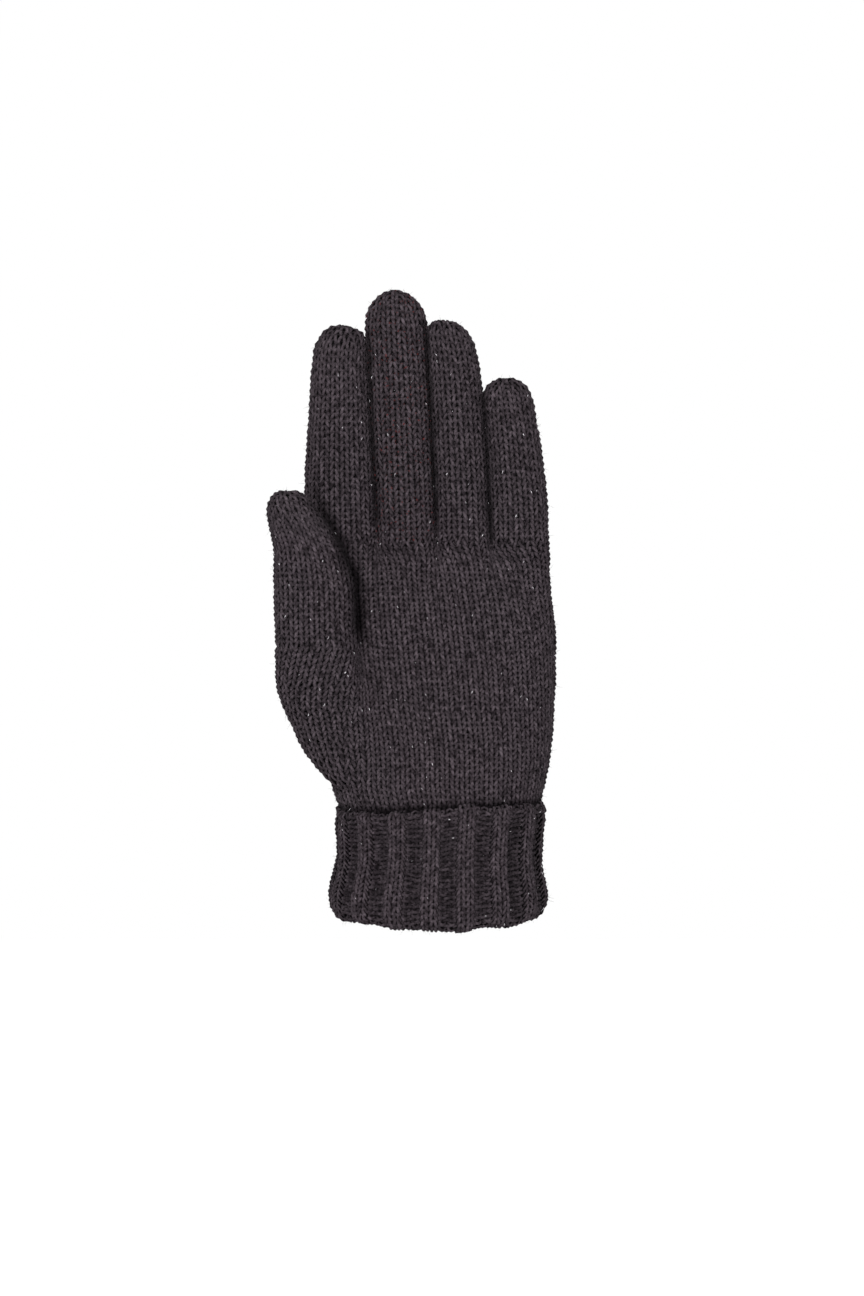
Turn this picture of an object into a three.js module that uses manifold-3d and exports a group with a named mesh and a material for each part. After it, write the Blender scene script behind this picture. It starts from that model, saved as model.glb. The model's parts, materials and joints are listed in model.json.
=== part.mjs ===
import * as THREE from 'three';
import { mergeVertices } from 'three/addons/utils/BufferGeometryUtils.js';
import Module from 'manifold-3d';

// A knitted left-hand glove, filled as if worn, in millimetres.
// +Z runs to the fingertips, the palm faces -Y and the thumb is on the -X side.
// The origin is the middle of the wrist opening, level with the fold at the bottom of the cuff.

const wasm = await Module();
wasm.setup();

const KNIT_WALL = 2;            // thickness of the plain knit
const CUFF_WALL = 2.4;          // thickness of one ribbed layer of the cuff
const GAP = 0.3;                // clearance between neighbouring knitted sections
const SQUARENESS = 2.3;         // exponent of the rounded oval sections, 2 is an ellipse
const HAND_SIDES = 44;
const FINGER_SIDES = 22;

const CUFF_FOLD_TOP = 3;
const CAST_ON_HEIGHT = 3;
const CAST_ON_PROUD = 0.7;      // how far the rolled edge stands out from the rib
const CUFF_TOP = 44;
const PALM_BOTTOM = 46.9;
const PALM_TOP = 133.5;

const KNUCKLE = 139;            // height of the four finger base joints
const KNUCKLE_BAND = 10;        // heights of the rows of knit that fold at each joint
const MID_BAND = 10;
const TIP_BAND = 6;

const THUMB_KNUCKLE = 106.3;
const THUMB_KNUCKLE_BAND = 9.4;
const THUMB_JOINT = 127;
const THUMB_JOINT_BAND = 8;
const THUMB_ROOT = 50;
const THUMB_TOP = 151;
const THUMB_DOME = 9;
const THUMB_CROTCH = THUMB_KNUCKLE - THUMB_KNUCKLE_BAND / 2 - GAP;

// Outer outlines, from the bottom up. Each station is
// [height, left edge, right edge, middle of the depth, half the depth].
const CUFF_OUTLINE = [
  [0, -36.9, 36.8, 0, 26.3],
  [6, -37.4, 37.2, 0, 26.8],
  [28, -34.4, 35.3, 0, 25.2],
  [44, -35.4, 37.2, 0, 26],
  [47, -35.4, 36.2, 0, 25.4],
];
const HAND_OUTLINE = [
  [46.9, -35, 35.6, 0, 24],
  [60, -37.6, 38.4, 0, 22.5],
  [80, -41.5, 40, 0, 20.5],
  [100, -44.3, 40.4, 0, 18],
  [120, -45.8, 38.8, 0, 15.5],
  [133.5, -46.2, 38.2, 0, 12.8],
];
const THUMB_OUTLINE = [
  [50, -36, -17, -8, 9],
  [63, -45.6, -19, -11.5, 10.5],
  [71, -49.7, -21, -14, 10.8],
  [80, -53.8, -24, -17, 10.8],
  [90, -54.8, -26.5, -20.5, 10.2],
  [101, -55.5, -27.4, -23.2, 9.8],
  [121, -56.5, -28.6, -23.4, 9.5],
  [129.5, -56.6, -31.3, -23.6, 9.3],
  [137, -57.6, -35.8, -23.8, 9],
  [143, -58.6, -40.4, -24, 8.6],
  [151, -59.6, -43.4, -24.2, 8],
];
const FINGERS = [
  {
    name: 'index',
    midJoint: 172,
    tipJoint: 190.5,
    top: 208,
    dome: 12,
    outline: [
      [133.5, -45.9, -21.1, 0, 11.6],
      [155, -45.8, -22.2, 0, 11.2],
      [182, -44.2, -23.8, 0, 10.4],
      [208, -41.6, -25.2, 0, 9.4],
    ],
  },
  {
    name: 'middle',
    midJoint: 177,
    tipJoint: 199,
    top: 220,
    dome: 13,
    outline: [
      [133.5, -20.3, -0.9, 0, 11.6],
      [170, -22.3, -2.6, 0, 11],
      [220, -25, -5, 0, 9.8],
    ],
  },
  {
    name: 'ring',
    midJoint: 173,
    tipJoint: 192,
    top: 210,
    dome: 12,
    outline: [
      [133.5, 0, 17.7, 0, 11.2],
      [170, -1.6, 15.8, 0, 10.6],
      [190, -2.6, 14.4, 0, 10],
      [210, -4.2, 11, 0, 9],
    ],
  },
  {
    name: 'little',
    midJoint: 159,
    tipJoint: 173.5,
    top: 190,
    dome: 11,
    outline: [
      [133.5, 18.6, 38.2, 0, 10.4],
      [149, 17.9, 37.4, 0, 10],
      [162, 17.2, 36, 0, 9.5],
      [190, 16, 31.6, 0, 8.4],
    ],
  },
];

const KNIT_COLOUR = 0x363034;
const RIB_COLOUR = 0x353033;
const EDGE_COLOUR = 0x3a3438;

// The oval of an outline at one height.
function ovalAt(outline, height) {
  let above = outline.findIndex((station) => station[0] >= height);
  if (above < 0) {
    above = outline.length - 1;
  }
  above = Math.max(above, 1);
  const low = outline[above - 1];
  const high = outline[above];
  const share = (height - low[0]) / (high[0] - low[0]);
  const [, left, right, y, depth] = low.map((value, i) => value + (high[i] - value) * share);
  return { x: (left + right) / 2, y, halfWidth: (right - left) / 2, halfDepth: depth };
}

// A closed solid from rings of an outline. Each row is { height, inset, shrink }: the ring is set in
// from the outline by inset and then shrunk towards its middle, and a shrink of 0 lies on the axis.
function ringSolid(outline, rows, sides) {
  const closed = rows[0].shrink === 0 ? rows : [...rows, rows[0]];
  const profile = closed.map((row, i) => new THREE.Vector2(row.shrink === 0 ? 0 : 1, i));
  const geometry = new THREE.LatheGeometry(profile, sides);
  const position = geometry.attributes.position;
  for (let i = 0; i < position.count; i += 1) {
    const row = closed[Math.round(position.getY(i))];
    const oval = ovalAt(outline, row.height);
    const angle = Math.atan2(position.getZ(i), position.getX(i));
    const round = (value) => Math.sign(value) * Math.abs(value) ** (2 / SQUARENESS) * row.shrink;
    const x = oval.x + (oval.halfWidth - row.inset) * round(Math.cos(angle));
    const y = oval.y - (oval.halfDepth - row.inset) * round(Math.sin(angle));
    position.setXYZ(i, x, y, row.height);
  }
  return welded(geometry);
}

function welded(geometry) {
  geometry.deleteAttribute('normal');
  geometry.deleteAttribute('uv');
  const joined = mergeVertices(geometry, 1e-4);
  joined.computeVertexNormals();
  return joined;
}

// Heights from bottom to top, with the outline's own stations that are well between them.
function heightsBetween(outline, bottom, top) {
  const nearest = 1;
  const between = outline.map((s) => s[0]).filter((z) => z > bottom + nearest && z < top - nearest);
  return [bottom, ...between, top];
}

function tube(outline, bottom, top, wall, sides, inset = 0) {
  const outside = heightsBetween(outline, bottom, top).map((height) => ({ height, inset, shrink: 1 }));
  const inside = outside.map((row) => ({ ...row, inset: inset + wall })).reverse();
  return ringSolid(outline, [...outside, ...inside], sides);
}

// A tube closed over at the top by a rounded end, hollow inside.
function fingertip(outline, bottom, top, dome, wall, sides) {
  const steps = 5;
  const cap = (inset) => {
    const rise = dome - inset;
    const rows = [{ height: bottom, inset, shrink: 1 }];
    for (let i = 0; i <= steps; i += 1) {
      const turn = (Math.PI / 2) * (i / steps);
      const shrink = i === steps ? 0 : Math.cos(turn);
      rows.push({ height: top - dome + rise * Math.sin(turn), inset, shrink });
    }
    return rows;
  };
  return ringSolid(outline, [...cap(wall).reverse(), ...cap(0)], sides);
}

// A filled solid of an outline between two heights, set in by inset.
function plug(outline, bottom, top, inset, sides) {
  const rows = heightsBetween(outline, bottom, top).map((height) => ({ height, inset, shrink: 1 }));
  const start = { ...rows[0], shrink: 0 };
  const end = { ...rows[rows.length - 1], shrink: 0 };
  return ringSolid(outline, [start, ...rows, end], sides);
}

function toManifold(geometry) {
  const mesh = new wasm.Mesh({
    numProp: 3,
    vertProperties: new Float32Array(geometry.attributes.position.array),
    triVerts: new Uint32Array(geometry.index.array),
  });
  mesh.merge();
  return new wasm.Manifold(mesh);
}

function cut(geometry, tool) {
  const mesh = toManifold(geometry).subtract(toManifold(tool)).getMesh();
  const result = new THREE.BufferGeometry();
  result.setAttribute('position', new THREE.BufferAttribute(mesh.vertProperties, mesh.numProp));
  result.setIndex(new THREE.BufferAttribute(mesh.triVerts, 1));
  result.computeVertexNormals();
  return result;
}

const glove = new THREE.Group();

function addSection(name, geometry, color) {
  const material = new THREE.MeshStandardMaterial({ color, roughness: 0.95, metalness: 0 });
  const mesh = new THREE.Mesh(geometry, material);
  mesh.name = name;
  glove.add(mesh);
}

// The cuff: a ribbed tube that folds at the bottom and turns up outside itself.
function addCuff() {
  const layers = 2 * CUFF_WALL + GAP;
  const soft = 1.2;
  const fold = [
    { height: 0, inset: soft, shrink: 1 },
    { height: soft, inset: 0, shrink: 1 },
    { height: CUFF_FOLD_TOP, inset: 0, shrink: 1 },
    { height: CUFF_FOLD_TOP, inset: layers, shrink: 1 },
    { height: soft, inset: layers, shrink: 1 },
    { height: 0, inset: layers - soft, shrink: 1 },
  ];
  addSection('cuff_fold', ringSolid(CUFF_OUTLINE, fold, HAND_SIDES), RIB_COLOUR);

  const ribBottom = CUFF_FOLD_TOP + GAP;
  const edgeBottom = CUFF_TOP - CAST_ON_HEIGHT;
  const turnback = tube(CUFF_OUTLINE, ribBottom, edgeBottom - GAP, CUFF_WALL, HAND_SIDES);
  addSection('cuff_turnback', turnback, RIB_COLOUR);

  const roll = CAST_ON_HEIGHT / 4;
  const edge = [
    { height: edgeBottom, inset: 0, shrink: 1 },
    { height: edgeBottom + roll, inset: -CAST_ON_PROUD, shrink: 1 },
    { height: CUFF_TOP - roll, inset: -CAST_ON_PROUD, shrink: 1 },
    { height: CUFF_TOP, inset: 0, shrink: 1 },
    { height: CUFF_TOP, inset: CUFF_WALL, shrink: 1 },
    { height: edgeBottom, inset: CUFF_WALL, shrink: 1 },
  ];
  addSection('cuff_cast_on_edge', ringSolid(CUFF_OUTLINE, edge, HAND_SIDES), EDGE_COLOUR);

  const inner = CUFF_WALL + GAP;
  const wristRib = tube(CUFF_OUTLINE, ribBottom, PALM_BOTTOM - GAP, CUFF_WALL, HAND_SIDES, inner);
  addSection('wrist_rib', wristRib, RIB_COLOUR);
}

// The palm tube, with the hole that the thumb's gusset grows out of.
function addHand() {
  const palm = tube(HAND_OUTLINE, PALM_BOTTOM, PALM_TOP, KNIT_WALL, HAND_SIDES);
  const thumbHollow = plug(THUMB_OUTLINE, THUMB_ROOT, THUMB_CROTCH, KNIT_WALL, FINGER_SIDES);
  addSection('palm', cut(palm, thumbHollow), KNIT_COLOUR);

  const gusset = tube(THUMB_OUTLINE, THUMB_ROOT, THUMB_CROTCH, KNIT_WALL, FINGER_SIDES);
  const handSolid = plug(HAND_OUTLINE, PALM_BOTTOM, PALM_TOP, -GAP, HAND_SIDES);
  addSection('thumb_gusset', cut(gusset, handSolid), KNIT_COLOUR);
}

// The sections of one finger or thumb, from its lowest joint up. Each joint has a band of rows that
// folds, and the section above it ends where the next joint's band begins.
function addFinger(name, outline, joints, top, dome) {
  joints.forEach((joint, i) => {
    const bandBottom = joint.height - joint.band / 2;
    const bandTop = joint.height + joint.band / 2;
    const band = tube(outline, bandBottom, bandTop, KNIT_WALL, FINGER_SIDES);
    addSection(`${name}_${joint.name}_band`, band, KNIT_COLOUR);

    const next = joints[i + 1];
    const bottom = bandTop + GAP;
    const section = next
      ? tube(outline, bottom, next.height - next.band / 2 - GAP, KNIT_WALL, FINGER_SIDES)
      : fingertip(outline, bottom, top, dome, KNIT_WALL, FINGER_SIDES);
    addSection(`${name}_${joint.section}`, section, KNIT_COLOUR);
  });
}

addCuff();
addHand();
for (const finger of FINGERS) {
  const joints = [
    { name: 'knuckle', section: 'base', height: KNUCKLE, band: KNUCKLE_BAND },
    { name: 'mid_joint', section: 'mid', height: finger.midJoint, band: MID_BAND },
    { name: 'tip_joint', section: 'tip', height: finger.tipJoint, band: TIP_BAND },
  ];
  addFinger(`${finger.name}_finger`, finger.outline, joints, finger.top, finger.dome);
}
const thumbJoints = [
  { name: 'knuckle', section: 'base', height: THUMB_KNUCKLE, band: THUMB_KNUCKLE_BAND },
  { name: 'joint', section: 'tip', height: THUMB_JOINT, band: THUMB_JOINT_BAND },
];
addFinger('thumb', THUMB_OUTLINE, thumbJoints, THUMB_TOP, THUMB_DOME);

export default glove;
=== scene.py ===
"""A knitted left-hand glove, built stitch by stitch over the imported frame.

Every visible piece is real yarn: a tube of plied yarn follows the loops of the stitches over a
smooth surface, and winds as a spiral round the cuff, the hand, the thumb and each finger. Surfaces
are worked out in millimetres and turned into metres when a mesh is made.
"""

import json
import math

import bpy
import numpy as np
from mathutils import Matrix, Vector


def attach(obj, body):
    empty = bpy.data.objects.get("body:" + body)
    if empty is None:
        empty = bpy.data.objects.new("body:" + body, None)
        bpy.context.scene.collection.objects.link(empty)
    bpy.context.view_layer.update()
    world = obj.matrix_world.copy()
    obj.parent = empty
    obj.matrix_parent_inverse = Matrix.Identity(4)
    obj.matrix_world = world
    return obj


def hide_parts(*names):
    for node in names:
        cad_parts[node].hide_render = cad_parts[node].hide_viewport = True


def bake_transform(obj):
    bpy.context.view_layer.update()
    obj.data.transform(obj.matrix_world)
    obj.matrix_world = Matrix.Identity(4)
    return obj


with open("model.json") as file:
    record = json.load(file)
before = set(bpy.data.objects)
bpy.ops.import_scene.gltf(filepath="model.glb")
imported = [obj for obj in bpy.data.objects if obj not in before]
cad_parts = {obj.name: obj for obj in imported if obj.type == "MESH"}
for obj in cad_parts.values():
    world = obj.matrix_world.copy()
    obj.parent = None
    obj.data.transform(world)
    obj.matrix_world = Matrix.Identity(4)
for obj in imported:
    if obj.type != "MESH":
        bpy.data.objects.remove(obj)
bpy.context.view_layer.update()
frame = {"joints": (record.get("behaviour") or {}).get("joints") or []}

MM = 0.001
RNG = np.random.default_rng(7)

# Lengths are in millimetres, unless a comment says otherwise.

# Yarn. The reach is how far its outside stands from the surface that the stitches are laid on,
# and the end is the share of the radius that is left where a length of yarn stops.
YARN_RADIUS = 0.67
YARN_SIDES = 6
YARN_END = 0.05
FABRIC_REACH = 1.3

# Silver slivers. Each is a shortened copy of a bit of yarn, at a share of the yarn's radius.
SLIVER_RADIUS = 0.12
SLIVER_SIZES = (0.6, 1.4)
SLIVER_SHARE = 0.55
SLIVER_OUT = 0.97
SLIVER_SIDES = 4
STITCHES_PER_SLIVER = 12

# Loose fibres. The root is at a share of the yarn's radius, and the taper is given as
# (share of the fibre's length, radius there).
FIBRES_PER_STITCH = 3
FIBRE_LENGTHS = (0.5, 1.6)
FIBRE_BEND = 0.6
FIBRE_ROOT = 0.85
FIBRE_TAPER = ((0.0, 0.04), (0.5, 0.035), (1.0, 0.008))

# Stitches. The loop's spread and height are shares of the stitch's width and height.
LOOP_SAMPLES = 12
LOOP_SPREAD = 0.23
LOOP_HEIGHT = 0.97
LOOP_DEPTH = 0.78
WALE = 3.6
HAND_COURSE = 1.74
FINGER_COURSE = 2.2
THUMB_COURSE = 1.9
CUFF_COURSE = 1.7

# Unevenness of single stitches, and long soft waves of the fabric and of its rows
HEIGHT_NOISE = 0.14
RISE_NOISE = 0.20
DEPTH_NOISE = 0.14
FABRIC_WAVE = 0.22
ROW_WAVE = 0.4
ROW_RIPPLE = 0.25

# The thin shell behind the loops, dark with painted shade for the gaps. It goes a margin past its
# courses at both ends, and takes one in so many of the surface's columns.
BACKING_INSET = 0.75
BACKING_THICKNESS = 0.5
BACKING_MARGIN = 1.5
BACKING_STEP = 4

# The power of the rounded ovals that the outlines are made of
SQUARENESS = 2.3

# Cuff. Its wales are counted round the whole cuff, and a rib takes four of them.
CUFF_WALES = 64
RIB_PERIOD = 4
RIB_DEPTH = 1.2
RIB_STEEPNESS = 1.6
STITCH_STEEPNESS = 3.0
# Shade in the rib's valleys, and the shares of the rib's depth between which it comes
VALLEY_SHADE = 0.5
VALLEY = (0.3, -1.0)
# How much the rib flattens at the rolled edge and at the fold, and where
EDGE_FLATTENS = 0.8
EDGE_FADE = (-9, -4)
FOLD_FLATTENS = 0.9
FOLD_FADE = 4.5
# The distance between the two layers, and the profile from the inner one's top to the edge
CUFF_LAYER = 5.0
INNER_LAYER_TOP = 30
FOLD_RAISED = 3.2
FOLD_ROWS = 12
STRAIGHT_ABOVE_FOLD = 4.0
OUTER_LAYER_TOP = 41.5
# Where the first course begins, how far before the end the last one stops, and the courses at
# which the cuff is cut into pieces
CUFF_START = 2.0
CUFF_STOP = 3
CUFF_CUTS = (15, 30)
# The rolled edge at the top of the outer layer, as (how far in, height)
CUFF_LIP = [(-0.3, 41.6), (-0.4, 42.4), (0.1, 43.1), (0.9, 43.4), (1.8, 43.0), (2.4, 42.0)]
# The edge droops at the front by the thumb's side: how much, and the places in depth, across and
# in height over which that grows. The bottom rises at both sides in the same way.
CUFF_EDGE = 44.6
CUFF_DROOP = 2.4
DROOP_FORWARD = (-4, 8)
DROOP_ACROSS = (24, -30)
DROOP_HEIGHTS = (20, 43)
CUFF_HALF_WIDTH = 37
SIDE_RISE = 4.6
SIDE_RISE_POWER = 2.6
SIDE_RISE_HEIGHTS = (26, 0)

# Hand. Shares are of the way round, from the middle of the back by the little finger's side.
HAND_BOTTOM = 34.0
HAND_TOP = 133.8
HAND_MARGIN = 2
HAND_COLUMNS = 400
FRONT_WALES = 35
BACK_WALES = 7
FRONT_SHARE = 0.62
BACK_SHARE = 0.87
# How far towards the thumb's side the steady front wales reach, as a share of the half width
FRONT_EDGE = 0.56
# Heights, from and to, over which the hand's outline changes
LOBES_APPEAR = (108, 132)
LOBES_PART = (112, 134)
THUMB_ROOT_ENDS = (55, 44)
THUMB_BLENDS = (50, 85)
THUMB_LEAVES = (98, 105)
# How widely neighbouring outlines run into each other, at first and once parted or grown
LOBE_BLENDS = (7, 3)
THUMB_ROOT_BLENDS = (2, 9)
# How far the thumb's outline shrinks away where it leaves the hand, and below its root
THUMB_GONE_ABOVE = 16
THUMB_GONE_BELOW = 12

# Rays that find the hand's outline: along each flat side, and round each narrow side
FLAT_RAYS = 90
FAN_RAYS = 90
RAY_STEP = 0.25
RAY_REACH = 62
SMOOTHING_PASSES = 3

# Fingers and thumb. Their surfaces begin inside the hand, and the first course a little above.
FINGER_BOTTOM = 130.4
THUMB_BOTTOM = 95.0
FINGER_COLUMNS = 120
FINGER_START = 3.0
# Over about this many courses their height grows from the palm's to the finger's.
GROWING_COURSES = 6
MOST_COURSES = 80
# How far before the end of the surface the yarn stops, and how far past that the inner shell goes
TIP_GAP = 0.6
TIP_BACKING = 3
DOME_ROWS = 22
# The dome's turn stops just short of a quarter turn, at this share of a half turn.
DOME_TURN = 0.495
# Below this share of its wales that fit, a course is drawn in with crowded stitches.
DRAWN_IN_SHARE = 0.7
TIP_CROWDING = 1.25
FEWEST_STITCHES = 6

# Painted shade along lines where parts of the fabric press together: their widths, and how they
# fade in from just below the first point and out above the last one
CREASE_SHADE_WIDTH = 1.0
THUMB_SHADOW_WIDTH = 2.4
CUFF_SHADE_WIDTH = 1.5
SHADE_FADES_IN = (-2, 5)
SHADE_FADES_OUT = (3, 0)
# Places in depth over which the lines grow, away from the middle of a side and towards the front
OFF_SIDE = (1.5, 5.5)
THUMB_SHADOW_FRONT = (-6, -12)

# Colours, linear
DARK_WOOL = (0.0068, 0.0052, 0.0062)
LIGHT_WOOL = (0.047, 0.038, 0.0436)
RED_FLECK = (0.050, 0.012, 0.012)
# Painted shade for the inner side of the fabric, seen through the gaps between loops
INSIDE_SHADE_DARK = (0.002, 0.0015, 0.002)
INSIDE_SHADE_LIGHT = (0.007, 0.005, 0.006)
DARK_SILVER = (0.30, 0.29, 0.30)
LIGHT_SILVER = (0.75, 0.73, 0.76)

# Where each material is in a piece's list
YARN_SLOT = 0
INNER_SLOT = 1
METAL_SLOT = 2

# Yarn material: turns of the ply for each millimetre, and how often each pattern repeats
PLY_TURNS = 0.42
STREAKS_ALONG = 0.9
STREAKS_ROUND = 9.0
TINTS_ALONG = 0.22

# Stage, in metres and watts
VIEW_MIDDLE = Vector((-0.0021, 0, 0.0973))
VIEW_HEIGHT = 0.444
CAMERA_DISTANCE = 1.2
SENSOR_HEIGHT = 36
FLOOR_REACH = 6.0
FLOOR_HEIGHT = -0.5
# Each light's name, place, size and power
LIGHTS = [
    ("key", (-0.35, -1.4, 0.75), 0.6, 34),
    ("fill", (0.6, -1.4, 0.2), 0.8, 10),
    ("back", (0.4, 1.3, 0.8), 0.8, 24),
]

# Outlines from the bottom up: height, left edge, right edge, middle of the depth, half the depth.
CUFF_OUTLINE = [
    (0, -36.9, 36.8, 0, 26.3),
    (6, -37.4, 37.2, 0, 26.8),
    (28, -34.4, 35.3, 0, 25.2),
    (44, -35.4, 37.2, 0, 26.0),
]
HAND_OUTLINE = [
    (30, -31.5, 32.2, 0, 21.5),
    (42, -33.6, 34.8, 0, 23.0),
    (48, -35.8, 36.0, 0, 23.8),
    (60, -37.6, 38.4, 0, 22.5),
    (80, -41.5, 40.0, 0, 20.5),
    (100, -44.3, 40.4, 0, 18.0),
    (120, -45.8, 38.8, 0, 15.5),
    (134, -46.2, 38.2, 0, 12.8),
]
THUMB_OUTLINE = [
    (50, -36.0, -17.0, -8.0, 9.0),
    (63, -45.6, -19.0, -11.5, 10.5),
    (71, -49.7, -21.0, -14.0, 10.8),
    (80, -53.8, -24.0, -17.0, 10.8),
    (90, -54.8, -26.5, -20.5, 10.2),
    (101, -55.0, -27.4, -23.2, 9.8),
    (121, -55.4, -28.6, -23.4, 9.5),
    (130, -55.4, -31.5, -23.6, 9.3),
    (137, -56.6, -35.8, -23.8, 9.0),
    (143, -57.7, -40.4, -24.0, 8.6),
    (151, -58.7, -43.4, -24.2, 8.0),
]
# Lines of painted shade where two parts of the fabric press together, as (across, height) points.
CREASE_SHADE_LINES = [
    [(-20.7, 139), (-22.5, 170), (-24.0, 204)],
    [(-0.5, 138), (-2.2, 170), (-4.4, 207)],
    [(18.0, 133), (16.6, 165), (15.4, 182)],
]
# The line along the thumb's edge where a wider painted shadow of the thumb falls on the palm's front,
# as (across, height) points
THUMB_SHADOW_LINE = [(-26.6, 100), (-27.9, 121), (-35.0, 137), (-44.0, 152)]
THUMB = {"wales": 20, "top": 151, "dome": 9, "outline": THUMB_OUTLINE}
FINGERS = {
    "index": {
        "wales": 20,
        "top": 208,
        "dome": 9,
        "outline": [
            (126, -45.9, -20.0, 0, 11.8),
            (155, -45.8, -21.2, 0, 11.2),
            (182, -44.2, -22.8, 0, 10.4),
            (199, -42.7, -23.6, 0, 9.7),
            (208, -40.6, -22.4, 0, 9.4),
        ],
    },
    "middle": {
        "wales": 18,
        "top": 219.2,
        "dome": 11,
        "outline": [
            (126, -21.4, 0.4, 0, 11.8),
            (170, -23.4, -1.4, 0, 11.0),
            (219.2, -25.8, -4.2, 0, 9.8),
        ],
    },
    "ring": {
        "wales": 17,
        "top": 210,
        "dome": 9.5,
        "outline": [
            (126, -1.2, 18.9, 0, 11.4),
            (170, -2.8, 16.8, 0, 10.6),
            (190, -3.7, 14.8, 0, 10.0),
            (200, -4.6, 13.0, 0, 9.5),
            (210, -6.8, 10.8, 0, 9.0),
        ],
    },
    "little": {
        "wales": 17,
        "top": 190,
        "dome": 9.5,
        "outline": [
            (126, 17.3, 38.3, 0, 10.6),
            (149, 16.7, 37.4, 0, 10.0),
            (162, 16.0, 36.0, 0, 9.5),
            (181, 14.8, 32.9, 0, 8.7),
            (190, 13.6, 31.4, 0, 8.4),
        ],
    },
}


# ---------------------------------------------------------------- surfaces


def smoothstep(low, high, x):
    """A smooth rise from 0 at low to 1 at high. It falls instead where high is below low."""
    t = np.clip((np.asarray(x, float) - low) / (high - low), 0, 1)
    return t * t * (3 - 2 * t)


def stations_at(outline, heights):
    """The outline's four values at each height, on a smooth curve through its stations."""
    table = np.array(outline, float)
    z = table[:, 0]
    slopes = np.gradient(table[:, 1:], z, axis=0)
    h = np.clip(heights, z[0], z[-1])
    i = np.clip(np.searchsorted(z, h) - 1, 0, len(z) - 2)
    span = z[i + 1] - z[i]
    t = ((h - z[i]) / span)[:, None]
    a, b = table[i, 1:], table[i + 1, 1:]
    ma, mb = slopes[i] * span[:, None], slopes[i + 1] * span[:, None]
    t2, t3 = t * t, t * t * t
    return (2 * t3 - 3 * t2 + 1) * a + (t3 - 2 * t2 + t) * ma + (3 * t2 - 2 * t3) * b + (t3 - t2) * mb


def oval_distance(x, y, left, right, middle, depth):
    """Roughly the distance from each point to the fabric's surface, negative inside it, where the
    yarn's outside makes a rounded oval."""
    half = (right - left) / 2 - FABRIC_REACH
    depth = depth - FABRIC_REACH
    dx = x - (left + right) / 2
    dy = y - middle
    rho = (np.abs(dx / half) ** SQUARENESS + np.abs(dy / depth) ** SQUARENESS) ** (1 / SQUARENESS)
    return np.hypot(dx, dy) * (1 - 1 / np.maximum(rho, 1e-6))


def part_way(pair, share):
    """The value a share of the way from the first of a pair to the second."""
    first, second = pair
    return first * (1 - share) + second * share


def smooth_min(a, b, blend):
    """The smaller of two distances, rounded where they are closer than blend."""
    h = np.clip(0.5 + 0.5 * (b - a) / blend, 0, 1)
    return b + (a - b) * h - blend * h * (1 - h)


class Surface:
    """A tube of rows of points, with even columns round it, that stitches are laid on."""

    def __init__(self, rows, distance=None):
        self.points = np.asarray(rows, float)
        if distance is None:
            steps = np.linalg.norm(np.diff(self.points, axis=0), axis=2).mean(axis=1)
            distance = np.concatenate([[0], np.cumsum(steps)])
        self.distance = np.asarray(distance, float)
        around = np.roll(self.points, -1, 1) - np.roll(self.points, 1, 1)
        up = np.gradient(self.points, self.distance, axis=0)
        normal = np.cross(up, around)
        length = np.linalg.norm(normal, axis=2, keepdims=True)
        self.normals = normal / np.maximum(length, 1e-9)

    def at(self, u, s):
        """The points and normals at shares u of the way round and distances s along."""
        count = self.points.shape[1]
        row = np.interp(s, self.distance, np.arange(len(self.distance)))
        i = np.clip(row.astype(int), 0, len(self.distance) - 2)
        fi = (row - i)[:, None]
        column = (u % 1) * count
        j = column.astype(int) % count
        fj = (column - np.floor(column))[:, None]
        k = (j + 1) % count

        def mixed(grid):
            low = grid[i, j] * (1 - fj) + grid[i, k] * fj
            high = grid[i + 1, j] * (1 - fj) + grid[i + 1, k] * fj
            return low * (1 - fi) + high * fi

        normal = mixed(self.normals)
        normal /= np.maximum(np.linalg.norm(normal, axis=1, keepdims=True), 1e-9)
        return mixed(self.points), normal


def evenly_round(ring, columns, anchors=((0.0, 0),)):
    """Resample a closed ring so that its columns are evenly spaced between the anchor points.
    Each anchor is (share of the columns, index of the ring's point)."""
    closed = np.vstack([ring, ring[:1]])
    steps = np.linalg.norm(np.diff(closed, axis=0), axis=1)
    along = np.concatenate([[0], np.cumsum(steps)])
    shares = [share for share, _ in anchors] + [1.0]
    places = [along[index] for _, index in anchors] + [along[-1]]
    target = np.interp(np.arange(columns) / columns, shares, places)
    return np.stack([np.interp(target, along, closed[:, a]) for a in range(3)], axis=1)


def hand_rays(left, right, depth):
    """Where the rays that find the hand's outline start, and which way each one goes. They leave a
    short line across the hand, from the middle of the back over the little finger's side."""
    middle = (left + right) / 2
    x_left, x_right = left + depth, right - depth
    half_flat = FLAT_RAYS // 2
    front = np.linspace(x_right, x_left, FLAT_RAYS, endpoint=False)
    back_left = np.linspace(x_left, middle, half_flat, endpoint=False)
    back_right = np.linspace(middle, x_right, half_flat, endpoint=False)
    fan_right, fan_left = np.full(FAN_RAYS, x_right), np.full(FAN_RAYS, x_left)
    start = np.concatenate([back_right, fan_right, front, fan_left, back_left])
    quarter = math.pi / 2
    turn = np.linspace(0, math.pi, FAN_RAYS, endpoint=False)
    to_back, to_front = np.full(half_flat, quarter), np.full(FLAT_RAYS, -quarter)
    angle = np.concatenate([to_back, quarter - turn, to_front, -quarter - turn, to_back])
    return start, np.cos(angle), np.sin(angle)


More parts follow.
